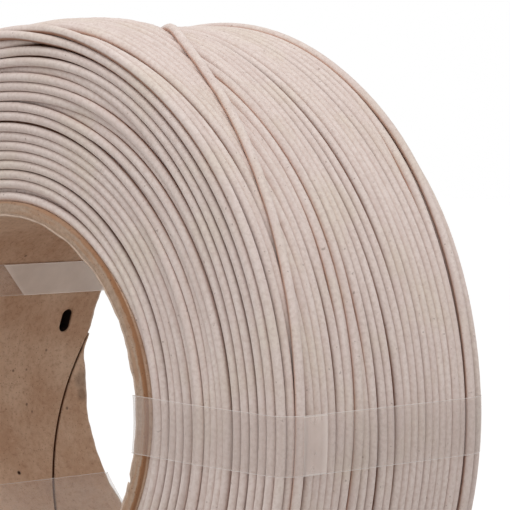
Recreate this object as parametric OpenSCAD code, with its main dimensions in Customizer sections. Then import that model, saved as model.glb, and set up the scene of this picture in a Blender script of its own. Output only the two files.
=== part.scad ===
// Spool-less refill coil of 3D printing filament.
// One strand is wound in layers on a paper core tube, and three straps of clear tape,
// each passed through the bore and round the coil, hold the winding together.
// The coil's axis is Y, its near end faces -Y, and the origin is the middle of the bore.

/* [Filament] */
// Diameter of the filament
filament_d = 1.75; // [1.5:0.05:3]
// Number of turns in the outer layer
outer_turns = 21; // [8:1:24]

/* [Core tube] */
// Diameter of the core's bore
bore_d = 70; // [50:1:90]
// Thickness of the core's wall
core_wall = 2.7; // [1.5:0.1:6]
// Length of the core
core_len = 52.5; // [40:0.5:80]
// Width of the anchor slot, along the core
slot_w = 2.8; // [2:0.1:4]
// Length of the anchor slot, round the core
slot_len = 5; // [4.5:0.1:10]
// Distance from the slot's middle to the core's far end
slot_from_end = 7.6; // [5:0.1:20]
// Angle of the slot round the axis, from +X towards +Z
slot_angle = 160; // [0:1:360]

/* [Winding] */
// Diameter of the coil over its outer layer
coil_d = 145; // [120:1:200]
// How far the near face sits inside the core's end, at the core
near_seat = 1; // [0:0.1:5]
// How far the near face bulges past the core's end, at its shoulder
near_bulge = 1.5; // [0:0.1:5]
// How far the far face sits inside the core's end, at the core
far_seat = 0.8; // [0:0.1:5]
// How far the far shoulder sits inside the core's end
far_inset = 1.4; // [1:0.1:10]
// Radius of the near shoulder, between the near face and the outer layer's seat
near_shoulder_r = 1.2; // [0.5:0.1:4]
// Radius of the far shoulder
far_shoulder_r = 1.2; // [0.5:0.1:4]
// Distance from the near face to the outer layer's last turn
near_step = 0.5; // [0:0.5:10]
// How far the coil is drawn in at the middle of its flatter stretch
flat_depth = 3.1; // [0.5:0.1:4]
// Angle of the middle of the flatter stretch, from +X towards +Z
flat_angle = 127.5; // [110:0.5:140]

/* [Tape straps] */
// Width of the right and lower left straps
tape_w = 10.2; // [6:0.1:19]
// Width of the upper left strap
narrow_tape_w = 8.5; // [6:0.1:19]
// Thickness of the tape film
tape_t = 0.1; // [0.05:0.01:0.3]
// Thickness of the adhesive between the film and what it holds
adhesive_t = 0.05; // [0.02:0.01:0.1]
// Angle of the right strap, from +X towards +Z
right_strap_angle = -2; // [-30:0.5:30]
// Angle of the upper left strap
upper_strap_angle = 142; // [110:0.5:150]
// Angle of the lower left strap
lower_strap_angle = 222; // [200:0.5:250]

/* [Hidden] */
$fn = 96;

card_colour = [0.63, 0.50, 0.39];
filament_colour = [0.84, 0.77, 0.72];
tape_colour = [0.80, 0.79, 0.77, 0.45];

end_y = core_len / 2;
bore_r = bore_d / 2;
hub_r = bore_r + core_wall;
cut = 1;                      // how far a cutting solid runs past what it cuts

// The outer layer: a helix of short straight runs, with a run's middle at the bottom.
rings_per_turn = 24;
tube_sides = 6;
ring_step = 360 / rings_per_turn;
first_ring_angle = lower_strap_angle - (lower_strap_angle - ring_step / 2) % ring_step;
turn_r = (coil_d - filament_d) / 2;
run_r = turn_r * cos(ring_step / 2);         // radius of a run at its middle
layer_gap = 0.2;                             // clearance between the layers
seat_r = turn_r - filament_d / 2 - layer_gap; // outer radius of the inner layers, at a ring
foot_cut = filament_d / 10;                  // depth of the flat that the coil stands on
foot_z = -(run_r + filament_d / 2 - foot_cut);

// The flatter stretch is an arc through two of the helix's rings, a whole number of runs apart.
flat_runs = 10;
flat_half = flat_runs * ring_step / 2;
flat_start = first_ring_angle
    + ring_step * round((flat_angle - flat_half - first_ring_angle) / ring_step);
flat_middle = flat_start + flat_half;
flat_rise = turn_r * (1 - cos(flat_half)) - flat_depth;
flat_r = (pow(turn_r * sin(flat_half), 2) + pow(flat_rise, 2)) / (2 * flat_rise);
flat_offset = flat_r - (turn_r - flat_depth);

// Radius of the outer layer's centreline at an angle
function turn_r_at(a) =
    let (off = abs((a - flat_middle + 900) % 360 - 180))
    off >= flat_half ? turn_r
    : sqrt(pow(flat_r, 2) - pow(flat_offset * sin(off), 2)) - flat_offset * cos(off);

// How much of its distance from the core a point of the winding loses at an angle
function drawn_in(a) = (turn_r - turn_r_at(a)) / (seat_r - hub_r);
function drawn(point, share) = [point[0] - max(point[0] - hub_r, 0) * share, point[1]];

// The outer layer's last turns and its pitch.
near_shoulder_y = -(end_y + near_bulge);
far_shoulder_y = end_y - far_inset;
first_turn_y = far_shoulder_y - filament_d / 2;
last_turn_y = near_shoulder_y + near_step + filament_d / 2;
pitch = (first_turn_y - last_turn_y) / outer_turns;

// The winding's faces, as heights along the axis against the radius.
near_face_r = seat_r - near_shoulder_r;
far_face_r = seat_r - far_shoulder_r;

function near_front(r) =
    let (t = (r - hub_r) / (near_face_r - hub_r))
    -(end_y - near_seat) - (near_bulge + near_seat) * sin(90 * t);
function far_front(r) =
    let (t = (r - hub_r) / (far_face_r - hub_r))
    end_y - far_seat - (far_inset - far_seat) * (1 - cos(90 * t));

// Each layer ends in a turn on each face: a crest, and a groove down to the turns' middles.
face_groove = filament_d / 2;
hub_groove = filament_d / 4;                 // width of the groove beside the core
function crests(reach) =
    let (count = floor((reach - hub_r) / pitch), spacing = (reach - hub_r) / count)
    [for (i = [0:count - 1]) hub_r + spacing * (i + 0.5)];
function grooves(reach) =
    let (count = floor((reach - hub_r) / pitch), spacing = (reach - hub_r) / count)
    [for (i = [1:count]) hub_r + spacing * i];
function near_groove(r) = [r, near_front(r) + face_groove];
function far_groove(r) = [r, far_front(r) - face_groove];
function reversed(v) = [for (i = [len(v) - 1:-1:0]) v[i]];
function arc(middle, r, from, first, last) =
    [for (i = [first:last])
        let (a = from + 90 * i / arc_steps)
        middle + r * [cos(a), sin(a)]];
arc_steps = 2;

near_turns = [for (i = [0:len(crests(near_face_r)) - 1])
                 let (crest = crests(near_face_r)[i])
                 each [[crest, near_front(crest)], near_groove(grooves(near_face_r)[i])]];
far_turns = [for (i = [0:len(crests(far_face_r)) - 1])
                let (crest = crests(far_face_r)[i])
                each [[crest, far_front(crest)], far_groove(grooves(far_face_r)[i])]];
near_points = concat([[hub_r + hub_groove, near_groove(hub_r)[1]]], near_turns,
                     arc([near_face_r, near_shoulder_y + near_shoulder_r], near_shoulder_r,
                         -90, 1, arc_steps));
far_points = concat(arc([far_face_r, far_shoulder_y - far_shoulder_r], far_shoulder_r,
                        0, 0, arc_steps - 1),
                    reversed(far_turns), [[hub_r + hub_groove, far_groove(hub_r)[1]]]);

// The outer layer's centreline.
ring_count = outer_turns * rings_per_turn;

function ring_middle(i) =
    let (a = first_ring_angle + i * ring_step, r = turn_r_at(a))
    [r * cos(a), first_turn_y - pitch * i / rings_per_turn, r * sin(a)];
function tube_ring(middle, a) =
    [for (k = [0:tube_sides - 1])
        let (s = 360 * k / tube_sides,
             out = filament_d / 2 * cos(s),
             along = filament_d / 2 * sin(s))
        middle + [out * cos(a), along, out * sin(a)]];
function run_direction(a) = [-sin(a), 0, cos(a)];

// The tube's first and last diameter run straight.
first_angle = first_ring_angle;
last_angle = first_ring_angle + ring_count * ring_step;
outer_rings = concat(
    [tube_ring(ring_middle(0) - filament_d * run_direction(first_angle), first_angle)],
    [for (i = [0:ring_count]) tube_ring(ring_middle(i), first_ring_angle + i * ring_step)],
    [tube_ring(ring_middle(ring_count) + filament_d * run_direction(last_angle), last_angle)]);

// Least gap between a turn and the next one, measured ring by ring.
turn_gaps = [for (i = [0:ring_count - rings_per_turn], j = [-2:2])
                let (k = i + rings_per_turn + j)
                if (k <= ring_count) norm(ring_middle(i) - ring_middle(k)) - filament_d];
echo(least_gap_between_turns = min(turn_gaps));

// The inner layers: one closed section at each of a turn's rings, cut by the core.
inner_points = concat([[hub_r - cut, near_points[0][1]]], near_points, far_points,
                      [[hub_r - cut, far_points[len(far_points) - 1][1]]]);
inner_rings = [for (i = [0:rings_per_turn - 1])
                  let (a = first_ring_angle + i * ring_step, share = drawn_in(a))
                  [for (p = inner_points)
                      let (q = drawn(p, share))
                      [q[0] * cos(a), q[1], q[0] * sin(a)]]];

// The straps follow the taut outline round the core and the winding.
coil_r = coil_d / 2;
function turns_left(a, b, c) =
    (b[0] - a[0]) * (c[1] - b[1]) - (b[1] - a[1]) * (c[0] - b[0]) > 0;
function without_last(v) = [for (i = [0:1:len(v) - 2]) v[i]];
function taut(points, i = 0, kept = []) =
    i == len(points) ? kept
    : len(kept) > 1 && !turns_left(kept[len(kept) - 2], kept[len(kept) - 1], points[i])
        ? taut(points, i, without_last(kept))
        : taut(points, i + 1, concat(kept, [points[i]]));

function held_outline(share) =
    [for (p = concat([[bore_r, -end_y], [hub_r, -end_y]],
                     near_points,
                     arc([turn_r, last_turn_y], filament_d / 2, -90, 0, arc_steps),
                     arc([turn_r, first_turn_y], filament_d / 2, 0, 0, arc_steps),
                     far_points,
                     [[hub_r, end_y], [bore_r, end_y]]))
        drawn(p, share)];

function unit(v) = v / norm(v);
function outward(a, b) = unit([b[1] - a[1], a[0] - b[0]]);
function grown(points, by) =
    [for (i = [0:len(points) - 1])
        let (n = len(points),
             before = outward(points[(i + n - 1) % n], points[i]),
             after = outward(points[i], points[(i + 1) % n]))
        points[i] + by * (before + after) / (1 + before * after)];

// Turns a solid made round Z so that it lies round Y, with its angles from +X towards +Z.
module round_y(angle = 0) {
    rotate([0, -angle, 0]) rotate([-90, 0, 0]) children();
}

// A stadium-shaped prism that stands on the bore's wall, with its length round the core.
module anchor_slot() {
    depth = core_wall + 2 * cut;
    translate([bore_r - cut, end_y - slot_from_end, 0])
        rotate([0, 90, 0]) {
            for (side = [-1, 1])
                translate([side * (slot_len - slot_w) / 2, 0, 0])
                    cylinder(d = slot_w, h = depth);
            translate([-(slot_len - slot_w) / 2, -slot_w / 2, 0])
                cube([slot_len - slot_w, slot_w, depth]);
        }
}

module core_tube() {
    color(card_colour)
        difference() {
            round_y() cylinder(r = hub_r, h = core_len, center = true);
            round_y() cylinder(r = bore_r, h = core_len + 2 * cut, center = true);
            rotate([0, -slot_angle, 0]) anchor_slot();
        }
}

module filament_inner_layers() {
    count = len(inner_points);
    skin = [for (i = [0:rings_per_turn - 1], k = [0:count - 1])
               let (next = (i + 1) % rings_per_turn,
                    a = i * count + k,
                    b = i * count + (k + 1) % count,
                    c = next * count + k,
                    d = next * count + (k + 1) % count)
               each [[a, b, d], [a, d, c]]];
    color(filament_colour)
        difference() {
            polyhedron([for (ring = inner_rings) each ring], skin);
            round_y() cylinder(r = hub_r, h = core_len + 2 * (near_bulge + cut), center = true);
        }
}

// One unbroken tube, cut flat where the coil stands.
module filament_outer_layer() {
    ring_total = len(outer_rings);
    skin = [for (i = [0:ring_total - 2], k = [0:tube_sides - 1])
               let (a = i * tube_sides + k,
                    b = i * tube_sides + (k + 1) % tube_sides,
                    c = a + tube_sides,
                    d = b + tube_sides)
               each [[a, b, d], [a, d, c]]];
    first_cap = [for (k = [1:tube_sides - 2]) [0, k + 1, k]];
    last = (ring_total - 1) * tube_sides;
    last_cap = [for (k = [1:tube_sides - 2]) [last, last + k, last + k + 1]];
    color(filament_colour)
        difference() {
            polyhedron([for (ring = outer_rings) each ring],
                       concat(skin, first_cap, last_cap));
            translate([-coil_r, -end_y - coil_r, foot_z - coil_r])
                cube([coil_d, core_len + coil_d, coil_r]);
        }
}

// A band of tape round the section of the coil at one angle.
module tape_strap(angle, w) {
    edge = asin(w / coil_d);
    share = min([for (side = [-1:1]) drawn_in(angle + side * edge)]);
    taut_outline = taut(held_outline(share));
    color(tape_colour)
        rotate([0, -angle, 0])
            intersection() {
                difference() {
                    round_y() rotate_extrude() polygon(grown(taut_outline, adhesive_t + tape_t));
                    round_y() rotate_extrude() polygon(grown(taut_outline, adhesive_t));
                }
                translate([0, -core_len, -w / 2])
                    cube([coil_d, 2 * core_len, w]);
            }
}

core_tube();
filament_inner_layers();
filament_outer_layer();
tape_strap(right_strap_angle, tape_w);  // tape_strap_right
tape_strap(upper_strap_angle, narrow_tape_w);  // tape_strap_upper_left
tape_strap(lower_strap_angle, tape_w);  // tape_strap_lower_left
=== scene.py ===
"""A coil of filament wound on a bare cardboard core and held by three straps of clear tape."""
import math
import bmesh
import bpy
import numpy as np
from mathutils import Matrix, Vector, geometry, noise


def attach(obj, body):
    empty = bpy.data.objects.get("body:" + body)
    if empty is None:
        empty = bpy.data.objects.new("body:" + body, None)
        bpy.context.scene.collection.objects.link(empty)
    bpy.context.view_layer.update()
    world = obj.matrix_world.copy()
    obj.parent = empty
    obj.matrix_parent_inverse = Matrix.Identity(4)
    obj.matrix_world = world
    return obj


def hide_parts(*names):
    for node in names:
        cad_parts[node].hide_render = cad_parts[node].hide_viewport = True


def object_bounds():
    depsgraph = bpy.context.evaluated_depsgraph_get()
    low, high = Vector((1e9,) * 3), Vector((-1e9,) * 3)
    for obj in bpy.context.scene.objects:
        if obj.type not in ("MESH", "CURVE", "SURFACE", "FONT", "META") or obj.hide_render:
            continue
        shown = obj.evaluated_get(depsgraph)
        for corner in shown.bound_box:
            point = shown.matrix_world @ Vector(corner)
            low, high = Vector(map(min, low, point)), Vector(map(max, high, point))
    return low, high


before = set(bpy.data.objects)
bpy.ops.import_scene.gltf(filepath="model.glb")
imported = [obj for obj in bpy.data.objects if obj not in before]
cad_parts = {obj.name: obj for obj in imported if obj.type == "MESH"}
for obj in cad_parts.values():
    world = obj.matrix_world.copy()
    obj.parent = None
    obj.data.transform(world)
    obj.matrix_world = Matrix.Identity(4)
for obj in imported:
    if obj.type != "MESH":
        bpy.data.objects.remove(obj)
CAD_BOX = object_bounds()

MM = 0.001
# The coil's axis is Y and the origin is the middle of the bore. All sizes below are in mm.
# Angles are in degrees round the coil, from 0 at the right to 90 at the top. Heights are
# measured along the axis from the core's near end; y is measured from the coil's middle.
STRAND = 1.75                   # the filament's diameter
CORE_BORE_R = 35.0
CORE_R = 37.7
HALF_LENGTH = 26.25             # half of the core's length
OUTER_R = 71.4                  # radius of the outer layer's strand centres
FOOT_Z = CAD_BOX[0][2] / MM     # height the coil stands at
EYE = (431.98, -399.68, 53.75)
EYE_TURN = (87.3668, 44.4947, -0.2981)   # tilt, heading and roll
LENS = 217.98

STATIONS = 144                  # points on one turn of a strand
FIRST_ANGLE = -15.0
STEP = 360.0 / STATIONS
ANGLES = FIRST_ANGLE + STEP * np.arange(STATIONS)
dice = np.random.default_rng(11)


# ---------------------------------------------------------------- winding: control values

# The angles that the four tables' columns are for, and those where nothing shows and the
# turns only stray a little.
SHOWN_ANGLES = (90, 75, 60, 45, 30, 15, 0, -12)
HIDDEN_ANGLES = (130, 175, 220, 265, 305)
# Where each turn on the near face shows its inner edge, as a radius, from the core outwards.
# A 0 stands where the turn is hidden, halfway between its neighbours.
FACE_TURNS = (
    (37.8, 37.8, 37.8, 37.8, 37.8, 37.8, 37.8, 37.8),
    (0, 0, 0, 0, 0, 0, 0, 0),
    (40.1, 40.35, 40.1, 39.75, 39.4, 39.15, 39.2, 39.5),
    (41.8, 42.15, 42.1, 41.65, 41.15, 40.75, 40.7, 41.1),
    (43.6, 44.1, 44.2, 44.2, 44.1, 43.8, 43.5, 43.65),
    (45.5, 45.95, 46.15, 46.1, 45.8, 45.5, 45.3, 45.8),
    (47.1, 47.5, 47.75, 47.7, 47.5, 47.55, 47.6, 48.0),
    (48.8, 49.2, 49.5, 49.55, 49.7, 49.9, 50.1, 50.7),
    (50.4, 50.75, 51.0, 51.1, 51.2, 51.1, 51.0, 51.2),
    (52.6, 53.15, 53.3, 53.1, 52.9, 52.85, 52.95, 53.4),
    (0, 0, 0, 55.3, 55.45, 55.3, 55.0, 55.0),
    (54.4, 54.95, 55.4, 55.85, 56.1, 56.6, 56.85, 57.15),
    (0, 0, 57.6, 58.0, 58.15, 58.15, 58.4, 58.7),
    (56.2, 57.3, 0, 0, 0, 0, 0, 0),
    (57.8, 59.2, 60.4, 61.1, 60.75, 60.65, 60.8, 61.15),
    (59.3, 61.0, 0, 0, 0, 0, 0, 0),
    (0, 0, 63.55, 63.3, 62.85, 62.8, 62.85, 63.1),
    (62.0, 64.05, 65.5, 65.4, 65.0, 64.85, 64.95, 65.4),
    (64.1, 66.2, 67.2, 67.25, 67.15, 67.2, 67.1, 67.2),
    (66.5, 68.3, 69.05, 69.3, 69.35, 69.15, 69.0, 69.3),
    (66.9, 70.0, 70.95, 71.35, 71.45, 71.35, 71.2, 71.3),
)
# How deep a turn lies behind the face, where it isn't level with it, by its row above.
FACE_DEPTHS = {
    0: (0.0, 0.0, 0.0, 0.0, 0.2, 0.5, 0.5, 0.3),
    1: (1.3, 1.2, 1.3, 1.45, 1.6, 1.8, 1.8, 1.6),
    7: (0.0, 0.0, 0.0, 0.15, 0.45, 0.7, 0.8, 0.9),
    8: (0.0, 0.0, 0.0, -0.15, -0.45, -0.6, -0.7, -0.8),
    10: (1.55, 1.5, 1.4, 1.2, 0.9, 0.5, 0.0, 0.0),
    12: (1.5, 1.3, 0.3, 0.0, 0.0, 0.0, 0.0, 0.0),
    13: (0.0, 0.0, 1.05, 0.8, 1.2, 1.25, 1.3, 1.25),
    15: (0.0, 0.0, 0.8, 1.4, 1.4, 1.4, 1.42, 1.42),
    16: (1.1, 0.85, 0.0, 0.0, 0.0, 0.0, 0.0, 0.0),
    20: (2.0, 0.4, 0.4, 0.4, 0.4, 0.4, 0.4, 0.4),
}
# Where each turn of the outer layer shows its far edge, as a height read at radius READ_R.
# The columns left out of READ_COLUMNS give where the turn's middle is, plus MIDDLE_BEFORE.
READ_R = 71.5
READ_COLUMNS = slice(2, None)
MIDDLE_BEFORE = 1.3
OUTER_TURNS = (
    (1.0, 1.3, 1.8, 3.2, 3.6, 3.2, 2.9, 3.1),
    (2.2, 2.7, 3.55, 4.9, 5.1, 5.3, 5.4, 5.5),
    (5.2, 5.8, 7.1, 7.8, 7.7, 7.65, 7.65, 8.0),
    (6.9, 7.5, 8.8, 9.5, 9.5, 9.4, 9.4, 9.7),
    (8.5, 9.1, 10.4, 11.25, 11.3, 11.2, 11.1, 11.3),
    (10.0, 10.6, 11.9, 13.0, 12.9, 13.1, 13.0, 13.1),
    (11.6, 12.1, 13.5, 14.75, 15.1, 15.6, 15.4, 14.8),
    (0, 0, 0, 0, 16.8, 0, 0, 0),
    (15.2, 15.7, 17.0, 17.9, 18.3, 17.35, 17.2, 17.0),
    (17.0, 17.5, 0, 0, 0, 0, 0, 0),
    (18.8, 19.3, 20.5, 21.0, 21.1, 20.3, 19.9, 19.3),
    (0, 0, 0, 0, 0, 0, 21.9, 21.9),
    (21.6, 22.2, 22.6, 22.9, 23.2, 22.9, 23.8, 24.1),
    (23.6, 24.2, 24.5, 24.65, 24.95, 25.3, 26.3, 26.8),
    (25.6, 26.2, 26.4, 26.3, 26.9, 27.5, 28.1, 28.7),
    (27.6, 28.1, 28.4, 28.6, 29.2, 30.0, 30.8, 31.1),
    (29.6, 30.0, 30.3, 31.0, 31.4, 32.1, 32.6, 32.8),
    (31.8, 32.3, 33.3, 33.8, 34.1, 34.2, 34.3, 34.3),
    (33.9, 34.4, 0, 0, 0, 0, 0, 0),
    (36.1, 36.1, 36.1, 36.2, 35.8, 36.0, 36.1, 36.2),
    (37.8, 37.8, 37.8, 38.0, 38.1, 38.2, 38.3, 38.3),
    (39.4, 39.4, 39.4, 39.5, 39.7, 39.9, 40.1, 40.2),
    (41.4, 41.4, 41.4, 41.5, 41.5, 41.8, 42.1, 42.2),
    (43.8, 43.8, 43.8, 43.8, 43.5, 43.7, 43.9, 44.0),
    (46.0, 46.0, 46.0, 46.0, 45.6, 45.4, 45.0, 45.1),
    (0, 0, 0, 0, 0, 0, 0, 0),
    (49.9, 50.1, 50.7, 49.2, 47.3, 46.7, 46.8, 46.8),
    (52.0, 52.0, 53.5, 52.9, 51.1, 50.1, 49.8, 50.3),
    (52.6, 52.6, 51.4, 51.5, 52.3, 51.3, 51.3, 51.7),
)
# How far a turn of the outer layer lies below the others, by its row above.
OUTER_DEPTHS = {
    0: (1.6, 0.6, 0.0, 0.0, 0.0, 0.0, 0.0, 0.0),
    1: (1.0, 1.0, 0.6, 0.2, 0.2, 0.0, 0.0, 0.0),
    7: (0.0, 0.1, 0.3, 0.2, 0.1, 1.3, 1.5, 1.4),
    9: (0.0, 0.2, 0.8, 0.8, 0.7, 0.6, 0.8, 1.0),
    11: (0.5, 0.7, 1.2, 1.4, 1.3, 1.1, 0.0, 0.0),
    18: (0.0, 0.4, 1.3, 1.45, 1.45, 1.45, 1.45, 1.45),
    25: (0.0, 0.0, 0.0, 0.1, 1.2, 1.45, 1.35, 1.4),
    27: (-0.7, -0.7, -0.7, -0.7, -0.7, -0.7, -0.7, -0.7),
    28: (0.9, 0.9, 0.9, 0.9, 0.5, 0.6, 0.6, 0.6),
}
# How far the turns on the near side of the crossing one swell out at the coil's top, by height.
SWELL = ((0, -0.3), (3, 0.2), (6, 0.7), (12, 1.1), (20, 1.1), (26, 0.8), (31, 0.2), (36, 0.0))
# How the outer layer begins: angle, how far behind its first turn, and how deep below it.
LEAD_IN = ((-160, 0.6, 2.6), (-60, 0.1, 0.6))
STILL_LEVEL = 108               # angle up to which a turn keeps its height past the columns
# The last turn, which crosses over the others: angle, height, and how far above them, in strands.
CROSSING = (
    (-15, 2.6, 0.85), (0, 2.65, 0.85), (5, 2.85, 0.8), (12, 3.6, 0.65), (21, 5.0, 0.5),
    (31.5, 6.9, 0.35), (40, 8.8, 0.3), (45, 10.2, 0.3), (50, 11.7, 0.3), (55, 13.3, 0.3),
    (60, 15.1, 0.3), (63, 16.3, 0.3), (66, 17.6, 0.3), (70, 20.0, 0.3), (74, 23.1, 0.25),
    (78, 27.2, 0.25), (82, 31.7, 0.3), (87.5, 38.2, 0.3), (95, 43.5, 0.3), (110, 46.5, 0.5),
    (130, 47.8, 0.85), (163, 48.4, 0.85),
)


# ---------------------------------------------------------------- winding: shape

# The faces' fronts: their height by the core and how far they move on the way outwards.
NEAR_FRONT = 1.0
NEAR_BULGE = 2.48
FAR_FRONT = 51.7
FAR_BULGE = -0.6
DRAWN_IN = 3.1                  # the most that the upper strap draws the coil in
SHOULDER_DIP = 1.8              # how far the near shoulder lies low at the top
LET_DOWN = 1.7                  # how far the crossing turn is lowered at the top


def rise(x, start, length):
    """0 up to start, 1 from start + length on, and an even curve between the two."""
    x = np.clip((x - start) / length, 0, 1)
    return x * x * (3 - 2 * x)


def sag(angle, r):
    """How far the coil is drawn in by its upper strap, at an angle and a radius."""
    a = np.asarray(angle) % 360
    drawn = rise(a, 63, 47) * (1 - rise(a, 150, 55))
    return DRAWN_IN * drawn * np.clip((r - 44) / 24, 0, 1)


def lean(angle, r, height):
    """How far a line of sight comes inwards for each mm that it goes along the axis."""
    c = np.cos(np.radians(angle))
    s = np.sin(np.radians(angle))
    across = (r * c - EYE[0]) * c + (r * s - EYE[2]) * s
    return -across / (height - HALF_LENGTH - EYE[1])


def near_front(r):
    """Height of the near face's front at a radius."""
    return NEAR_FRONT - NEAR_BULGE * np.sin(np.clip((r - CORE_R) / 32.6, 0, 1) * math.pi / 2)


def far_front(r):
    """Height of the far face's front at a radius."""
    return FAR_FRONT + FAR_BULGE * (1 - np.cos(np.clip((r - CORE_R) / 30, 0, 1) * math.pi / 2))


def around(angles, values):
    """Values at every station, from control values round the circle, without corners."""
    order = np.argsort(angles)
    a = np.asarray(angles, float)[order]
    v = np.asarray(values, float)[order]
    return rounded(np.interp(ANGLES, a, v, period=360), 3)


def bell_weights(reach):
    """Shares that add up to 1, for the stations up to reach away each way."""
    bell = np.hanning(2 * reach + 3)[1:-1]
    return bell / bell.sum()


def rounded(v, reach):
    """Closed runs of values, averaged over a few stations each way."""
    out = np.zeros_like(v)
    for i, w in enumerate(bell_weights(reach)):
        out += w * np.roll(v, i - reach, axis=-1)
    return out


def eased_run(v, reach):
    """An open run of values, averaged over a few stations each way."""
    padded = np.concatenate([np.full(reach, v[0]), v, np.full(reach, v[-1])])
    return np.convolve(padded, bell_weights(reach), mode="valid")


def closed_turn(y, r, stray):
    """A closed turn from its values at the shown angles; it strays a little at the hidden ones."""
    hidden = np.array(HIDDEN_ANGLES)
    last = SHOWN_ANGLES[0]
    first = SHOWN_ANGLES[-1] + 360
    free = r + sag(SHOWN_ANGLES, r)
    part = (hidden - last) / (first - last)
    hidden_r = free[0] + (free[-1] - free[0]) * part + dice.normal(0, stray, len(hidden))
    hidden_r = hidden_r - sag(hidden, hidden_r)
    strayed = dice.normal(0, stray * 0.6, len(hidden)).clip(-0.2, 0.2)
    hidden_y = y[0] + (y[-1] - y[0]) * part + strayed
    every = SHOWN_ANGLES + HIDDEN_ANGLES
    return np.stack([around(every, np.append(y, hidden_y)),
                     around(every, np.append(r, hidden_r))])


def filled(values):
    """A table's columns with each 0 set between the rows next to it."""
    made = np.array(values, float)
    rows = np.arange(len(made))
    for column in made.T:
        shown = column != 0
        column[:] = np.interp(rows, rows[shown], column[shown])
    return made


def depth_rows(depths, turns):
    """Depths for every row and column of a table of turns."""
    made = np.zeros(np.shape(turns))
    for row, values in depths.items():
        made[row] = values
    return made


def near_face_turns():
    """The near face's turns, placed so that their edges show where FACE_TURNS says."""
    depth = depth_rows(FACE_DEPTHS, FACE_TURNS)
    edge = filled(FACE_TURNS)
    r = edge.copy()
    for _ in range(4):
        height = near_front(r) + STRAND / 2 + depth
        k = lean(SHOWN_ANGLES, r, height)
        r = edge - (height - near_front(edge)) * k + STRAND / 2 * np.sqrt(1 + k * k)
        r = np.where(np.array(FACE_TURNS) == 0, 0, r)
        r = np.maximum(filled(r), CORE_R + STRAND / 2)
    height = near_front(r) + STRAND / 2 + depth
    return [closed_turn(one_height - HALF_LENGTH, one_r, stray=0.16)
            for one_height, one_r in zip(height, r)]


def outer_seats():
    """Each outer turn's y and radius at the shown angles, near side first."""
    r = OUTER_R - sag(SHOWN_ANGLES, OUTER_R) - depth_rows(OUTER_DEPTHS, OUTER_TURNS)
    edge = filled(OUTER_TURNS)
    height = edge - MIDDLE_BEFORE
    seen = READ_COLUMNS
    for _ in range(4):
        k = lean(SHOWN_ANGLES[seen], r[:, seen], height[:, seen])
        half = STRAND / 2 * np.sqrt(1 + k * k) / k
        height[:, seen] = edge[:, seen] - half - (r[:, seen] - READ_R) / k
        height = filled(np.where(np.array(OUTER_TURNS) == 0, 0, height))
    return list(zip(height - HALF_LENGTH, r))


def outer_chain():
    """The outer layer as one helix, from its far side to its near side, with the last turn on top.

    It is given as angles that go on growing, y, and radius.
    """
    angles = np.array(SHOWN_ANGLES[::-1])
    seats = [(y[::-1], r[::-1]) for y, r in outer_seats()][::-1]
    at = []
    ys = []
    rs = []
    for turn, (y, r) in enumerate(seats):
        at.extend(angles + 360 * turn)
        ys.extend(y)
        free = r + sag(angles, r)
        rs.extend(free)
        at.append(STILL_LEVEL + 360 * turn)
        ys.append(y[-1])
        rs.append(min(free[-1], OUTER_R))
    start = 360 * len(seats)
    for angle, height, above in CROSSING:
        at.append(angle + start)
        ys.append(height - HALF_LENGTH)
        rs.append(OUTER_R + above * STRAND)
    at = [angle for angle, _, _ in LEAD_IN] + at
    ys = [ys[0] - behind for _, behind, _ in LEAD_IN] + ys
    rs = [OUTER_R - below for _, _, below in LEAD_IN] + rs
    every = np.arange(at[0], at[-1] + 0.1, STEP)
    y = eased_run(np.interp(every, at, ys), 4)
    r = eased_run(np.interp(every, at, rs), 5)
    crossed = every < start + CROSSING[0][0]
    r[crossed] += swell(every[crossed], y[crossed]) - given_way(every[crossed], y[crossed])
    return every, y, r - sag(every, r)


def swell(angle, y):
    """How far the near half of the layer stands out at the top, less the dip of its shoulder."""
    a = angle % 360
    height = y + HALF_LENGTH
    out = np.interp(height, *np.transpose(SWELL)) * rise(a, 55, 27) * (1 - rise(a, 87, 14))
    dip = SHOULDER_DIP * np.exp(-(height / 8) ** 2) * rise(a, 76, 18) * (1 - rise(a, 165, 40))
    return out - dip


def given_way(angle, y):
    """How far the layer gives way under the crossing turn, and a little beyond it."""
    beyond = 0.8
    reach = 1.9
    at, height, above = np.transpose(CROSSING)
    off = y + HALF_LENGTH - np.interp(angle % 360, at, height) - beyond
    sunk = above[0] - np.interp(angle % 360, at, above)
    return sunk * STRAND * np.exp(-(off / reach) ** 4)


def let_down(winding):
    """Lowers the crossing turn, and those under it, where it comes over the coil's top."""
    beyond = 0.7
    reach = 2.0
    angle, y, r = winding.chain
    a = angle % 360
    at, height, _ = np.transpose(CROSSING)
    drop = LET_DOWN * rise(a, 70, 14) * (1 - rise(a, 95, 20))
    off = y + HALF_LENGTH - np.interp(a, at, height) - beyond
    crossing = angle > angle[-1] - at[-1] + at[0]
    r -= drop * np.where(crossing, 1, np.exp(-(off / reach) ** 4))


def plain_turn(y, r, stray):
    """A closed turn at one height and radius, strayed a little."""
    every = np.arange(0, 360, 40)
    free_r = r + dice.normal(0, stray, len(every))
    return np.stack([around(every, y + dice.normal(0, stray, len(every))),
                     around(every, free_r - sag(every, free_r))])


def far_face_turns():
    """The far face's turns, evenly spread from the core to the outer layer."""
    count = 18
    turns = []
    for i in range(count):
        r = CORE_R + STRAND / 2 + (OUTER_R - 1.9 - CORE_R - STRAND / 2) * i / (count - 1)
        y = far_front(r) - STRAND / 2 - HALF_LENGTH
        turns.append(plain_turn(y, r, stray=0.12))
    return turns


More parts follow.
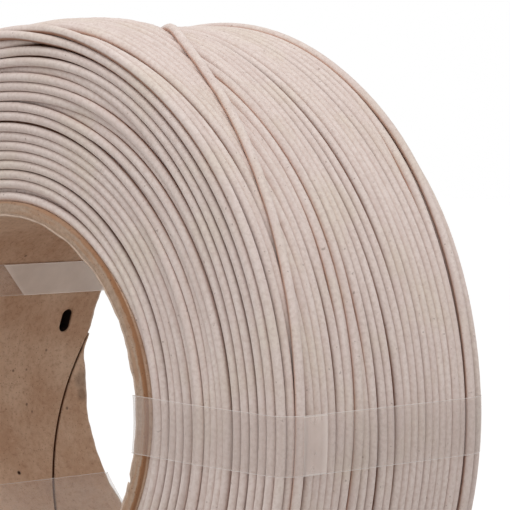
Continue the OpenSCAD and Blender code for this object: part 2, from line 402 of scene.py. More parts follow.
def backing_turns():
    """The turns that lie one layer in, behind both faces and below the outer layer."""
    behind = 2.45
    turns = []
    for r in np.arange(CORE_R + STRAND, OUTER_R - 3.0, 1.86):
        turns.append(plain_turn(near_front(r) + behind - HALF_LENGTH, r, stray=0.12))
        turns.append(plain_turn(far_front(r) - behind - HALF_LENGTH, r, stray=0.12))
    for height in np.arange(near_front(70.0) + 3.2, 48.6, 1.88):
        turn = plain_turn(height - HALF_LENGTH, OUTER_R - 2.0, stray=0.1)
        turn[1] += swell(ANGLES, turn[0]) - given_way(ANGLES, turn[0])
        turns.append(turn)
    return turns


class Winding:
    """Every modelled strand, as y and radius at its stations round the coil.

    The closed turns are in runs. The outer layer is one open chain of angle, y and radius.
    """

    def __init__(self, chain):
        self.runs = []
        self.groups = []
        self.weights = []
        self.chain = chain
        self.every = None

    def add(self, group, weight, runs):
        """Closed turns of one group; the greater their weight, the less they are pushed."""
        for run in runs:
            self.runs.append(run)
            self.groups.append(group)
            self.weights.append(weight)

    def settle(self, rounds):
        """Pushes touching strands apart and smooths them a little, some rounds over."""
        chain_weight = 3.0
        angle = self.chain[0]
        length = len(angle)
        offset = int(round((angle[0] - FIRST_ANGLE) / STEP)) % STATIONS
        rows = -(-(offset + length) // STATIONS)

        def folded(chain):
            """The chain as one row for each turn, with nan where it hasn't begun or has ended."""
            made = np.full((2, rows * STATIONS), np.nan)
            made[:, offset:offset + length] = chain
            return made.reshape(2, rows, STATIONS).transpose(1, 0, 2)

        def unfolded(turns):
            return turns.transpose(1, 0, 2).reshape(2, -1)[:, offset:offset + length]

        p = np.concatenate([np.array(self.runs), folded(np.stack(self.chain[1:]))])
        closed = len(self.runs)
        weight = np.concatenate([self.weights, np.full(rows, chain_weight)])
        a, b = near_pairs(p)
        share = (weight[b] / (weight[a] + weight[b]))[:, None, None]
        for n in range(rounds):
            push_apart(p, a, b, share)
            p[:closed, 1] = np.maximum(p[:closed, 1], CORE_R + STRAND / 2)
            if n % 3 == 2:
                p[:closed] = 0.6 * p[:closed] + 0.4 * rounded(p[:closed], 1)
                chain = unfolded(p[closed:])
                smooth = np.stack([eased_run(values, 1) for values in chain])
                p[closed:] = folded(0.6 * chain + 0.4 * smooth)
        push_apart(p, a, b, share)
        self.runs = list(p[:closed])
        self.chain = (angle, *unfolded(p[closed:]))
        self.every = p


def near_pairs(p):
    """The pairs of turns that come near enough to touch somewhere."""
    near = STRAND * 1.6
    a = []
    b = []
    for i in range(len(p)):
        for j in range(i + 1, len(p)):
            gap = np.hypot(p[i, 0] - p[j, 0], p[i, 1] - p[j, 1])
            if np.nanmin(np.where(np.isnan(gap), np.inf, gap)) < near:
                a.append(i)
                b.append(j)
    return np.array(a), np.array(b)


def push_apart(p, a, b, share):
    """Moves each pair of turns apart by half of what they overlap."""
    d = p[b] - p[a]
    gap = np.sqrt((d ** 2).sum(1, keepdims=True)) + 1e-6
    over = np.nan_to_num(np.clip(STRAND - gap, 0, None) * 0.5)
    move = np.nan_to_num(d / gap) * over
    np.add.at(p, a, -move * share)
    np.add.at(p, b, move * (1 - share))


def wind():
    """The settled winding."""
    winding = Winding(outer_chain())
    winding.add("near_face", 4.0, near_face_turns())
    winding.add("far_face", 4.0, far_face_turns())
    winding.add("backing", 1.0, backing_turns())
    winding.settle(rounds=60)
    let_down(winding)
    return winding


def rest_on_foot(r, angle):
    """Radii held inside the flat that the coil stands on."""
    down = np.maximum(-np.sin(np.radians(angle)), 1e-6)
    return np.minimum(r, (-FOOT_Z - STRAND / 2) / down)


# ---------------------------------------------------------------- winding: mesh

def strand_path(angle, y, r):
    """Points in metres along a strand's middle."""
    r = rest_on_foot(r, angle)
    a = np.radians(angle)
    return np.stack([r * np.cos(a), y, r * np.sin(a)], 1) * MM


def strand_piece(name, paths, material):
    """Round strands along closed or open paths, as one mesh piece."""
    curve = bpy.data.curves.new(name, "CURVE")
    curve.dimensions = "3D"
    curve.bevel_depth = STRAND / 2 * MM
    curve.bevel_resolution = 4
    for points, closed in paths:
        spline = curve.splines.new("POLY")
        spline.points.add(len(points) - 1)
        spline.points.foreach_set("co", np.c_[points, np.ones(len(points))].ravel())
        spline.use_cyclic_u = closed
    holder = bpy.data.objects.new(name + "_path", curve)
    bpy.context.scene.collection.objects.link(holder)
    bpy.context.view_layer.update()
    depsgraph = bpy.context.evaluated_depsgraph_get()
    mesh = bpy.data.meshes.new_from_object(holder.evaluated_get(depsgraph))
    bpy.data.objects.remove(holder)
    mesh.name = name
    mark_facing_for_crease_shade(mesh, paths)
    close_ends(mesh)
    piece = bpy.data.objects.new(name, mesh)
    bpy.context.scene.collection.objects.link(piece)
    mesh.materials.clear()
    mesh.materials.append(material)
    mesh.polygons.foreach_set("use_smooth", [True] * len(mesh.polygons))
    return piece


def close_ends(mesh):
    """Fills the holes at a strand's two ends."""
    bm = bmesh.new()
    bm.from_mesh(mesh)
    bmesh.ops.holes_fill(bm, edges=[e for e in bm.edges if e.is_boundary])
    bmesh.ops.recalc_face_normals(bm, faces=bm.faces[:])
    bm.to_mesh(mesh)
    bm.free()


def mark_facing_for_crease_shade(mesh, paths):
    """Stores how far each point of a strand faces out of the coil, from -1 to 1; this sets where
    shade is painted in its creases.
    """
    points = np.empty(len(mesh.vertices) * 3)
    mesh.vertices.foreach_get("co", points)
    points = points.reshape(-1, 3)
    count = sum(len(p) for p, _ in paths)
    sides = len(points) // count
    centres = np.repeat(np.concatenate([p for p, _ in paths]), sides, axis=0)
    d = points - centres
    d = d / np.linalg.norm(d, axis=1, keepdims=True)
    facing = (d * outward(centres)).sum(1)
    layer = mesh.attributes.new("facing", "FLOAT", "POINT")
    layer.data.foreach_set("value", facing.astype(np.float32))


def outward(centres):
    """Out of the coil: along its axis on the faces, radial outside, between them on a shoulder."""
    shoulder = 4.5
    shoulder_r = 66.5
    shoulder_y = 21.5
    x, y, z = centres.T / MM
    r = np.hypot(x, z)
    free_r = r + sag(np.degrees(np.arctan2(z, x)), r)
    off_side = np.clip((free_r - shoulder_r) / shoulder, 0.01, 1)
    off_face = np.clip((np.abs(y) - shoulder_y) / shoulder, 0.02, 1)
    off_face = np.sign(y) * off_face * (1 - 0.5 * off_side)
    out = np.stack([x / r * off_side, off_face, z / r * off_side], 1)
    return out / np.linalg.norm(out, axis=1, keepdims=True)


def build_winding(winding):
    """The strand in pieces that each hold a part of its turns, and the solid behind them."""
    # Both strand materials paint shade into the creases between strands; the face's painted shade is
    # darker.
    outer = filament_material("filament_strand", 0.2, 0.6, 0.6, colour(204, 152, 124))
    face = filament_material("filament_strand_face", 0.4, 0.3, 0.9, colour(146, 96, 68))
    # Painted shade: the backing turns and the solid behind them take the darker copy of the strand's
    # colour.
    deep = deep_painted_shade_material()
    nodes = ("filament_inner_layers", "filament_outer_layer")
    most = 28
    pieces = []
    for group, material in (("near_face", face), ("far_face", face), ("backing", deep)):
        runs = [run for run, kind in zip(winding.runs, winding.groups) if kind == group]
        for start in range(0, len(runs), most):
            paths = [(strand_path(ANGLES, *run), True) for run in runs[start:start + most]]
            pieces.append(strand_piece("filament_%s_%d" % (group, start // most), paths, material))
    path = strand_path(*winding.chain)
    half = len(path) // 2
    half = half - half % STATIONS
    pieces.append(strand_piece("filament_outer_layer_far", [(path[:half + 1], False)], outer))
    pieces.append(strand_piece("filament_outer_layer_near", [(path[half:], False)], outer))
    pieces.append(filament_bulk(deep))
    for piece in pieces:
        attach(piece, "root")
        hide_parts(*nodes)


def lathe(name, outline, material, steps=144):
    """A solid of revolution round Y from a closed outline of (r, y) points in mm."""
    bm = bmesh.new()
    verts = [bm.verts.new((r * MM, y * MM, 0)) for r, y in outline]
    for one, two in zip(verts, verts[1:] + verts[:1]):
        bm.edges.new((one, two))
    bmesh.ops.spin(bm, geom=bm.verts[:] + bm.edges[:], cent=(0, 0, 0), axis=(0, 1, 0),
                   angle=2 * math.pi, steps=steps, use_merge=True)
    bmesh.ops.recalc_face_normals(bm, faces=bm.faces[:])
    return smooth_piece(name, bm, material)


def smooth_piece(name, bm, material):
    for face in bm.faces:
        face.smooth = True
    return from_bmesh(name, bm, material)


def from_bmesh(name, bm, material):
    """A piece in the scene, made from a bmesh that isn't needed any more."""
    mesh = bpy.data.meshes.new(name)
    bm.to_mesh(mesh)
    bm.free()
    mesh.materials.append(material)
    piece = bpy.data.objects.new(name, mesh)
    bpy.context.scene.collection.objects.link(piece)
    return piece


def filament_bulk(material):
    """The turns further in, as one solid behind those that show."""
    behind = 4.0
    radii = np.linspace(CORE_R + 0.05, OUTER_R - 6.6, 9)
    near = [(r, near_front(r) + behind - HALF_LENGTH) for r in radii]
    far = [(r, far_front(r) - behind - HALF_LENGTH) for r in radii]
    return lathe("filament_bulk", near + far[::-1], material)


# ---------------------------------------------------------------- core

LINER = 0.35                    # thickness of the core's innermost ply
SEAM_TOP = (168.0, 51.3)        # a point of the liner's seam, as angle and height
SEAM_LEAD = 16.9                # how far the seam falls for each radian round the bore
SEAM_GAP = 1.5                  # its width
SLOT = (160.0, 44.9, 2.8, 5.0)  # angle, height, width along the core and length round it


def seam_angle(height):
    """Where the middle of the liner's seam is."""
    return SEAM_TOP[0] + math.degrees((SEAM_TOP[1] - height) / SEAM_LEAD)


def rough(x, y, z, scale=1.0):
    """Smooth noise between about -1 and 1."""
    return noise.noise(Vector((x, y, z)) * scale)


def end_wear(angle, far):
    """How far the core's end is worn back at an angle; the far end is torn at two places."""
    c = math.cos(math.radians(angle))
    s = math.sin(math.radians(angle))
    side = 9.0 if far else 0.0
    wear = 0.22 + 0.30 * rough(c * 5, s * 5, side) + 0.16 * rough(c * 22, s * 22, side)
    if far:
        torn = math.exp(-((angle - 172) / 5.0) ** 2)
        wear += 0.75 * torn + 0.35 * math.exp(-((angle - 200) / 16.0) ** 2)
    return max(wear, 0.0)


def board_body(material):
    """The outer plies of the core, with softened and worn ends."""
    inner = CORE_BORE_R + LINER
    radii = (inner, inner + 0.25, inner + 0.8, inner + 1.3, CORE_R - 0.5, CORE_R - 0.15, CORE_R)
    drop = (0.12, 0.02, 0.0, 0.04, 0.0, 0.06, 0.22)
    near = [(r, -HALF_LENGTH + d) for r, d in zip(radii, drop)]
    far = [(r, HALF_LENGTH - d) for r, d in zip(radii, drop)]
    outline = near + [(CORE_R, 0)] + far[::-1] + [(inner, 0)]
    piece = lathe("core_board_body", outline, material, 360)
    for v in piece.data.vertices:
        x, y, z = v.co / MM
        if abs(y) > HALF_LENGTH - 1:
            angle = math.degrees(math.atan2(z, x)) % 360
            grain = 0.10 * rough(x, y, z, 1.6) + 0.05 * rough(x, y, z, 5.0)
            back = 0.6 * end_wear(angle, y > 0) + grain
            v.co.y -= math.copysign(max(back, 0.0), y) * MM
    return piece


def board_liner(material):
    """The innermost ply: one helical strip whose edges leave a seam and whose ends are frayed."""
    frayed = 1.5
    gap = math.degrees(SEAM_GAP / CORE_BORE_R)
    bm = bmesh.new()
    bmesh.ops.create_grid(bm, x_segments=420, y_segments=60, size=0.5)
    for v in bm.verts:
        part = v.co.x + 0.5
        along = v.co.y + 0.5
        height = 2 * HALF_LENGTH * along
        angle = seam_angle(height) + gap / 2 + part * (360 - gap)
        edge = 1 - min(along, 1 - along) * 2 * HALF_LENGTH / frayed
        if edge > 0:
            wear = end_wear(angle % 360, along > 0.5)
            height += (wear if along < 0.5 else -wear) * edge
        c = math.cos(math.radians(angle))
        s = math.sin(math.radians(angle))
        curl = 0.22 * max(edge, 0) * rough(c * 9, s * 9, 30 * along)
        lift = 0.10 * math.exp(-(min(part, 1 - part) * 220 / 0.9) ** 2)
        r = CORE_BORE_R + 0.05 * rough(c * 6, s * 6, height * 0.15) + curl - lift
        v.co = Vector((r * c, height - HALF_LENGTH, r * s)) * MM
    for face in bm.faces:
        face.smooth = True
    bmesh.ops.recalc_face_normals(bm, faces=bm.faces[:])
    bmesh.ops.solidify(bm, geom=bm.faces[:], thickness=LINER * MM)
    bmesh.ops.recalc_face_normals(bm, faces=bm.faces[:])
    return from_bmesh("core_board_liner", bm, material)


def slot_cutter():
    """A round-ended bar that stands through the core's wall."""
    angle, height, wide, long = SLOT
    bm = bmesh.new()
    bmesh.ops.create_circle(bm, cap_ends=True, segments=32, radius=wide / 2 * MM)
    for v in bm.verts:
        v.co.y += math.copysign((long - wide) / 2, v.co.y) * MM
    made = bmesh.ops.extrude_face_region(bm, geom=bm.faces[:])
    for v in made["geom"]:
        if isinstance(v, bmesh.types.BMVert):
            v.co.z += 8 * MM
    bmesh.ops.recalc_face_normals(bm, faces=bm.faces[:])
    a = math.radians(angle)
    out = Vector((math.cos(a), 0, math.sin(a)))
    round_way = Vector((-math.sin(a), 0, math.cos(a)))
    turn = Matrix((Vector((0, 1, 0)), round_way, out)).transposed().to_4x4()
    at = out * (CORE_BORE_R - 3) + Vector((0, height - HALF_LENGTH, 0))
    bmesh.ops.transform(bm, matrix=Matrix.Translation(at * MM) @ turn, verts=bm.verts[:])
    return from_bmesh("slot_cutter", bm, None)


def cut(piece, cutter):
    """Takes the cutter's shape out of a piece."""
    modifier = piece.modifiers.new("slot", "BOOLEAN")
    modifier.operation = "DIFFERENCE"
    modifier.solver = "EXACT"
    modifier.object = cutter
    bpy.context.view_layer.update()
    depsgraph = bpy.context.evaluated_depsgraph_get()
    mesh = bpy.data.meshes.new_from_object(piece.evaluated_get(depsgraph))
    piece.modifiers.clear()
    piece.data = mesh


def build_core(material):
    """The core's two plies, with the slot cut through both."""
    cutter = slot_cutter()
    for piece in (board_body(material), board_liner(material)):
        cut(piece, cutter)
        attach(piece, "root")
        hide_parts("core_tube")
    bpy.data.objects.remove(cutter)


# ---------------------------------------------------------------- tape

FILM = 0.07                     # how far the film stands off what it is pulled round
STRAPS = (                      # name, node, the angle of its middle, and its width
    ("right", "tape_strap_right", -2.0, 10.4),
    ("upper_left", "tape_strap_upper_left", 142.2, 8.25),
    ("lower_left", "tape_strap_lower_left", 221.9, 10.2),
)
RIGHT_LAP = (2.6, 9.2)          # heights between which the right strap lies double
UPPER_LEFT_LAP = (26.0, 2 * HALF_LENGTH + 1)
LAP_LIFT = 0.08                 # how far a lap lies off the film below it
LAP_SLANT = 9.5                 # how far the upper left lap's end is out of square


def taut_loop(winding, angle, width):
    """The outline, as (r, y), that a strap pulled round everything under it lies on."""
    half = math.degrees(width / 2 / OUTER_R) + STEP / 2
    under = np.abs((ANGLES - angle + 180) % 360 - 180) < half
    centres = winding.every[:, :, under].transpose(0, 2, 1).reshape(-1, 2)
    centres = centres[~np.isnan(centres[:, 0])]
    round_way = np.radians(np.arange(0, 360, 15))
    reach = STRAND / 2 + FILM
    y = (centres[:, :1] + reach * np.sin(round_way)).ravel()
    r = (centres[:, 1:] + reach * np.cos(round_way)).ravel()
    inner = CORE_BORE_R - 0.25
    corners = [(inner, -HALF_LENGTH - 0.05), (inner, HALF_LENGTH + 0.05)]
    points = [Vector(c) for c in zip(r, y) if c[0] > CORE_R] + [Vector(c) for c in corners]
    hull = [tuple(points[i]) for i in geometry.convex_hull_2d(points)]
    start = min(range(len(hull)), key=lambda i: (hull[i][0] > inner + 0.01, hull[i][1]))
    return hull[start:] + hull[:start]


def even_steps(outline, step):
    """Points along a closed outline, no further apart than step."""
    made = []
    for one, two in zip(outline, outline[1:] + outline[:1]):
        count = max(1, math.ceil(math.dist(one, two) / step))
        for i in range(count):
            made.append(tuple(a + (b - a) * i / count for a, b in zip(one, two)))
    return made


def film(name, outline, closed, angle, width, material, slant=0.0):
    """A strip of film whose middle follows an outline at one angle; its first end can slant."""
    half = width / 2
    edge = 0.2
    across = [-half, -half + edge, *np.linspace(-half + 1, half - 1, 7), half - edge, half]
    along = outline + outline[:1] if closed else outline
    slant_rows = 7
    bm = bmesh.new()
    layer = bm.verts.layers.float.new("edge")
    bmesh.ops.create_grid(bm, x_segments=len(across) - 1, y_segments=len(along) - 1, size=0.5)
    for v in bm.verts:
        side = across[round((v.co.x + 0.5) * (len(across) - 1))]
        row = round((v.co.y + 0.5) * (len(along) - 1))
        r, y = along[row]
        a = math.radians(angle) + math.asin(side / r)
        shift = slant * side / width * max(0, 1 - row / slant_rows)
        at_end = not closed and row in (0, len(along) - 1)
        # Marks the film's edges for their painted highlight; a lap's ends get a weaker one.
        v[layer] = 1.0 if abs(side) > half - edge / 2 else (0.3 if at_end else 0.0)
        v.co = Vector((r * math.cos(a), y + shift, r * math.sin(a))) * MM
    if closed:
        bmesh.ops.remove_doubles(bm, verts=bm.verts[:], dist=1e-7)
    bmesh.ops.recalc_face_normals(bm, faces=bm.faces[:])
    return smooth_piece(name, bm, material)


def lap_outline(loop, outside, low, high):
    """The part of a strap's loop between two heights, on the coil's outside or in its bore.

    It lies a small step off the loop, and it is in order of height.
    """
    lap = []
    for r, y in loop:
        on_side = r > OUTER_R - 4 if outside else r < CORE_BORE_R
        if on_side and low < y + HALF_LENGTH < high:
            off_end = math.copysign(LAP_LIFT, y) if abs(y) > HALF_LENGTH - 1.5 else 0
            lap.append((r + (LAP_LIFT if outside else -LAP_LIFT), y + off_end))
    return sorted(lap, key=lambda point: point[1])


def build_straps(winding):
    """The three straps, and the two places where their film shows double."""
    plain = tape_material("tape_film", 0.2, colour(222, 207, 199))
    lapped = tape_material("tape_film_lapped", 0.27, colour(255, 238, 230))
    # The doubled film is whiter and milkier than one layer: partly the haze of two layers, partly
    # painted reflection.
    doubled = tape_material("tape_film_doubled", 0.55, colour(255, 244, 234))
    for name, node, angle, width in STRAPS:
        loop = even_steps(taut_loop(winding, angle, width), 1.5)
        pieces = [film("tape_" + name, loop, True, angle, width, plain)]
        if name == "right":
            lap = lap_outline(loop, True, *RIGHT_LAP)
            pieces.append(film("tape_right_lap", lap, False, angle, width - 0.3, lapped))
        if name == "upper_left":
            lap = lap_outline(loop, False, *UPPER_LEFT_LAP)
            pieces.append(film("tape_upper_left_lap", lap, False, angle, width, doubled, LAP_SLANT))
        for piece in pieces:
            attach(piece, "root")
            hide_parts(node)


# ---------------------------------------------------------------- materials

class Value:
    """A socket that can be used in sums."""

    def __init__(self, shader, socket):
        self.shader = shader
        self.socket = socket

    def __add__(self, other):
        return self.shader.math("ADD", self, other)

    def __rsub__(self, other):
        return self.shader.math("SUBTRACT", other, self)

    def __mul__(self, other):
        return self.shader.math("MULTIPLY", self, other)


class Shader:
    """One material's nodes, or the world's."""

    def __init__(self, name, world=False):
        self.material = (bpy.data.worlds if world else bpy.data.materials).new(name)
        if world:
            bpy.context.scene.world = self.material
        self.material.use_nodes = True
        self.tree = self.material.node_tree
        self.tree.nodes.clear()

    def node(self, kind, settings, *inputs, output=0, **named):
        """A new node's output; inputs are given in order or by name, with _ for a space."""
        made = self.tree.nodes.new(kind)
        for key, value in settings.items():
            setattr(made, key, value)
        for i, value in enumerate(inputs):
            self.put(made.inputs[i], value)
        for key, value in named.items():
            self.put(made.inputs[key.replace("_", " ")], value)
        return Value(self, made.outputs[output])

    def put(self, socket, value):
        if isinstance(value, Value):
            self.tree.links.new(value.socket, socket)
        else:
            socket.default_value = value

    def math(self, kind, *inputs):
        return self.node("ShaderNodeMath", {"operation": kind}, *inputs)

    def axis(self, vector, name):
        return self.node("ShaderNodeSeparateXYZ", {}, vector, output=name)

    def noise(self, vector, scale, detail, roughness=0.5):
        return self.node("ShaderNodeTexNoise", {}, Vector=vector, Scale=scale, Detail=detail,
                         Roughness=roughness)

    def stored(self, name):
        """A number that the mesh holds at its points."""
        return self.node("ShaderNodeAttribute", {"attribute_name": name}, output="Fac")

    def away(self, one, two):
        return self.node("ShaderNodeVectorMath", {"operation": "DISTANCE"}, one, two, output="Value")

    def mix(self, factor, one, two):
        made = self.tree.nodes.new("ShaderNodeMix")
        made.data_type = "RGBA"
        self.put(made.inputs[0], factor)
        self.put(made.inputs[6], one)
        self.put(made.inputs[7], two)
        return Value(self, made.outputs[2])

    def ramp(self, value, low, high):
        """0 up to low, 1 from high on."""
        settings = {"interpolation_type": "SMOOTHSTEP"}
        return self.node("ShaderNodeMapRange", settings, value, low, high, 0.0, 1.0)

    def surface(self, base, rough, **named):
        made = self.tree.nodes.new("ShaderNodeBsdfPrincipled")
        self.put(made.inputs["Base Color"], base)
        self.put(made.inputs["Roughness"], rough)
        for key, value in named.items():
            self.put(made.inputs[key.replace("_", " ")], value)
        end = self.tree.nodes.new("ShaderNodeOutputMaterial")
        self.tree.links.new(made.outputs[0], end.inputs["Surface"])
        return self.material

    def place(self):
        return self.node("ShaderNodeTexCoord", {}, output="Object")


def colour(r, g, b):
    """A colour given as it shows on a screen, from 0 to 255."""
    def linear(v):
        v = v / 255
        return v / 12.92 if v <= 0.04045 else ((v + 0.055) / 1.055) ** 2.4
    return (linear(r), linear(g), linear(b), 1.0)


def unrolled(s, round_way, out, along):
    """Object coordinates round the coil's axis: angle, radius and height, each times a scale."""
    xyz = s.place()
    x = s.axis(xyz, "X")
    y = s.axis(xyz, "Y")
    z = s.axis(xyz, "Z")
    turn = s.math("ARCTAN2", z, x)
    r = s.math("SQRT", x * x + z * z)
    return s.node("ShaderNodeCombineXYZ", {}, turn * round_way, r * out, y * along)


def filament_colour(s, crease_shade_mask, crease_shade):
    """The strand's colour with painted shade in its creases, and the grain in it."""
    patch = s.noise(unrolled(s, 5.0, 1000, 1000), 0.9, 3.0)
    warm = s.noise(s.place(), 95.0, 2.0)
    grain = s.noise(s.place(), 1500.0, 3.0)
    speck = s.noise(s.place(), 1250.0, 1.0)
    base = s.mix(s.ramp(patch, 0.35, 0.65), colour(223, 206, 199), colour(231, 216, 209))
    base = s.mix(s.ramp(warm, 0.45, 0.75) * 0.35, base, colour(222, 210, 190))
    base = s.mix(s.ramp(grain, 0.35, 0.75) * 0.6, base, colour(206, 186, 176))
    base = s.mix(s.ramp(speck, 0.73, 0.79) * 0.45, base, colour(120, 94, 80))
    # Painted shade: the creases' colour where the strand faces sideways or inwards.
    base = s.mix(crease_shade_mask, base, crease_shade)
    return base, grain


def filament_material(name, reach, low, high, crease_shade):
    """The strand; where it faces outwards less than reach, it shows the painted shade colour of its
    creases.

    The painted shade in the creases is as strong as low on the coil's lower part and as strong as
    high near the top.
    """
    s = Shader(name)
    # How strong the painted shade in the creases is, by height.
    strength = s.ramp(s.axis(s.place(), "Z"), 0.015, 0.055) * (high - low) + low
    crease_shade_mask = (1 - s.ramp(s.stored("facing"), reach - 0.5, reach)) * strength
    base, grain = filament_colour(s, crease_shade_mask, crease_shade)
    bump = s.node("ShaderNodeBump", {}, Strength=0.3, Distance=0.0001, Height=grain)
    return s.surface(base, 0.6, Normal=bump, Specular_IOR_Level=0.3)


def deep_painted_shade_material():
    """The turns further in, in a darker, browner copy of the strand's colour: painted shade for
    where little light reaches.
    """
    s = Shader("filament_deep_painted_shade")
    return s.surface(colour(158, 110, 86), 0.8)


# Marks on the bore's wall: height from the near end, angle, size in mm, and strength.
BORE_MARKS = (
    (29.8, 210.0, 0.6, 1.0), (51.0, 181.0, 2.6, 0.35), (51.0, 186.0, 1.8, 0.35),
    (26.0, 132.0, 0.45, 0.6), (32.5, 176.0, 0.4, 0.6), (36.0, 176.0, 0.35, 0.5),
    (35.8, 187.5, 0.4, 0.6), (37.0, 190.0, 0.35, 0.5), (46.5, 190.0, 0.45, 0.6),
    (22.0, 196.0, 0.5, 0.5), (41.0, 170.0, 0.4, 0.5), (18.0, 178.0, 0.5, 0.5),
)


def on_core(r, angle, height):
    """A point in metres on a circle round the axis."""
    a = math.radians(angle)
    return Vector((r * math.cos(a), height - HALF_LENGTH, r * math.sin(a))) * MM


def bore_marks(s, xyz):
    """How strongly the marks darken the bore's wall."""
    total = 0.0
    for height, angle, size, strength in BORE_MARKS:
        away = s.away(xyz, on_core(CORE_BORE_R, angle, height))
        total = (1 - s.ramp(away, size * 0.35 * MM, size * MM)) * strength + total
    return s.math("MINIMUM", total, 1.0)


def core_material():
    """The core's board: its wall, its cut ends with a browner outer ply partly painted as shade,
    painted shade under the liner in the seam, and painted shade on the slot's sides.
    """
    s = Shader("core_board")
    xyz = s.place()
    round_way = unrolled(s, 35.0, 1000, 1000)
    r = s.axis(round_way, "Y")
    from_middle = s.math("ABSOLUTE", s.axis(round_way, "Z"))
    blotch = s.noise(xyz, 60.0, 5.0, 0.6)
    fibre = s.noise(round_way, 0.8, 6.0, 0.75)
    fleck = s.noise(round_way, 2.6, 1.0)
    base = s.mix(s.ramp(blotch, 0.35, 0.68), colour(196, 161, 134), colour(219, 191, 167))
    base = s.mix(s.ramp(fibre, 0.45, 0.72) * 0.6, base, colour(160, 122, 97))
    base = s.mix((1 - s.ramp(fibre, 0.28, 0.45)) * 0.5, base, colour(226, 200, 174))
    base = s.mix(bore_marks(s, xyz), base, colour(48, 22, 6))
    end = s.ramp(from_middle, HALF_LENGTH - 1.2, HALF_LENGTH - 0.8) * s.ramp(r, 35.4, 35.6)
    grain = s.noise(round_way, 1.3, 5.0, 0.65)
    streak = s.noise(unrolled(s, 4.0, 1000, 0), 0.9, 2.0)
    cut = s.mix(s.ramp(grain, 0.3, 0.7), colour(172, 146, 126), colour(194, 168, 147))
    cut = s.mix(s.ramp(streak, 0.4, 0.65) * 0.5, cut, colour(178, 134, 102))
    # The cut end's outer ply is browner, and it is painted darker and warmer towards the right as
    # shade and bounce light in the gap by the strands.
    shade_to_right = s.ramp(s.axis(xyz, "X"), 0.012, 0.03)
    ply = s.ramp(r + grain * 0.9, 37.55, 37.95) * (shade_to_right * 0.45 + 0.45)
    cut = s.mix(ply, cut, colour(158, 112, 78))
    base = s.mix(end, base, cut)
    base = s.mix(s.ramp(fleck, 0.65, 0.72) * 0.55, base, colour(104, 72, 52))
    # Painted shade: the board under the liner, which shows in the seam's gap, is dark brown.
    seam_gap_shade = s.ramp(r, 35.24, 35.3) * (1 - s.ramp(r, 35.4, 35.5))
    off_end = 1 - s.ramp(from_middle, 25.5, 25.8)
    base = s.mix(seam_gap_shade * off_end, base, colour(92, 54, 32))
    frayed = s.ramp(from_middle + grain * 0.5, HALF_LENGTH - 0.55, HALF_LENGTH - 0.1)
    on_liner = 1 - s.ramp(r, 35.35, 35.6)
    base = s.mix(frayed * on_liner * 0.6, base, colour(224, 203, 187))
    # Painted shade: the slot's sides are near black.
    slot_shade = slot_side(s, xyz) * s.ramp(r, 35.15, 35.5)
    base = s.mix(slot_shade, base, colour(30, 20, 15))
    bump = s.node("ShaderNodeBump", {}, Strength=0.6, Distance=0.0004, Height=fibre + blotch)
    return s.surface(base, 0.88, Normal=bump, Specular_IOR_Level=0.25)


def slot_side(s, xyz):
    """Where the core's wall is the slot's own side, which is painted near black as shade."""
    mid_wall_r = 36.4
    angle, height, _, long = SLOT
    away = s.away(xyz, on_core(mid_wall_r, angle, height))
    return 1 - s.ramp(away, (long / 2 + 0.2) * MM, (long / 2 + 0.5) * MM)


def tape_material(name, milk, tint):
    """Clear film; milk is how much of what lies under it the film hides. Its edges are painted
    whiter and less clear, as a painted highlight.
    """
    s = Shader(name)
    edge = s.stored("edge")
    cloud = s.noise(s.place(), 160.0, 3.0)
    # Painted highlight: whiter, less clear film along the edges.
    base = s.mix(edge, tint, colour(252, 247, 243))
    return s.surface(base, 0.22, Alpha=edge * 0.35 + s.ramp(cloud, 0.3, 0.8) * 0.1 + milk)


# ---------------------------------------------------------------- stage

# The lamp is a large soft one; its place and size are in metres.
WORLD = 0.78                    # strength of the light from all round
FLOOR_LIFT = 0.6                # how much whiter the floor shows than it is lit
KEY_PLACE = (0.25, -0.35, 1.05)
KEY_SIZE = 0.7
KEY_POWER = 3.6


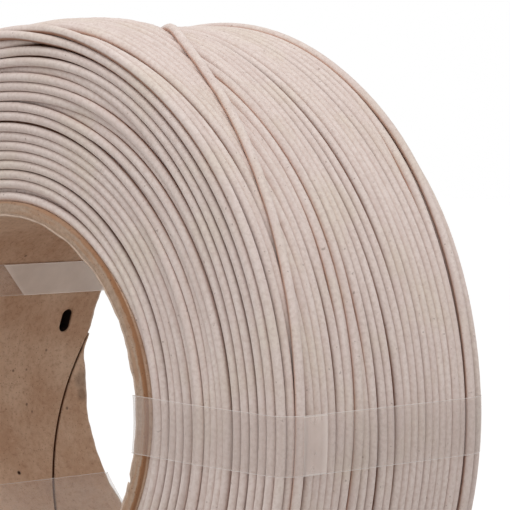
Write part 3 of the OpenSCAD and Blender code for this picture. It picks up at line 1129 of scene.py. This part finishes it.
def seen_straight(s):
    """1 for rays from the camera and for what shiny and clear surfaces show, otherwise 0."""
    path = s.tree.nodes.new("ShaderNodeLightPath")
    straight = 0.0
    for kind in ("Is Camera Ray", "Is Glossy Ray", "Is Transmission Ray"):
        straight = Value(s, path.outputs[kind]) + straight
    return s.math("MINIMUM", straight, 1.0)


def stage():
    """The floor, the light from all round, and one soft lamp."""
    bm = bmesh.new()
    bmesh.ops.create_grid(bm, x_segments=1, y_segments=1, size=3.0)
    floor = from_bmesh("floor", bm, floor_material())
    floor.location = (0, 0, FOOT_Z * MM)
    s = Shader("world", world=True)
    strength = seen_straight(s) * (1 - WORLD) + WORLD
    glow = s.node("ShaderNodeBackground", {}, colour(255, 255, 255), strength)
    end = s.tree.nodes.new("ShaderNodeOutputWorld")
    s.put(end.inputs["Surface"], glow)
    lamp("key", KEY_PLACE, KEY_SIZE, KEY_POWER)


def floor_material():
    """White where the floor is lit; the coil's shadow stays on it."""
    s = Shader("floor_white")
    lift = s.mix(seen_straight(s), (0, 0, 0, 1), (FLOOR_LIFT, FLOOR_LIFT, FLOOR_LIFT, 1))
    return s.surface(colour(182, 180, 178), 0.9, Emission_Color=lift, Emission_Strength=1.0)


def lamp(name, place, size, power):
    """A round lamp that shines at the coil's middle."""
    data = bpy.data.lights.new(name, "AREA")
    data.shape = "DISK"
    data.size = size
    data.energy = power
    made = bpy.data.objects.new(name, data)
    made.location = place
    made.rotation_euler = (-Vector(place)).to_track_quat("-Z", "Y").to_euler()
    bpy.context.scene.collection.objects.link(made)


def camera():
    """The camera that the scene is seen by."""
    data = bpy.data.cameras.new("camera")
    data.sensor_width = 36
    data.lens = LENS
    data.clip_start = 0.01
    made = bpy.data.objects.new("camera", data)
    tilt, heading, roll = (math.radians(v) for v in EYE_TURN)
    turn = Matrix.Rotation(heading, 4, "Z") @ Matrix.Rotation(tilt, 4, "X")
    turn = turn @ Matrix.Rotation(roll, 4, "Z")
    made.matrix_world = Matrix.Translation(Vector(EYE) * MM) @ turn
    bpy.context.scene.collection.objects.link(made)
    bpy.context.scene.camera = made


def main():
    camera()
    stage()
    bpy.context.scene.view_settings.view_transform = "Standard"
    build_core(core_material())
    winding = wind()
    build_winding(winding)
    build_straps(winding)


main()
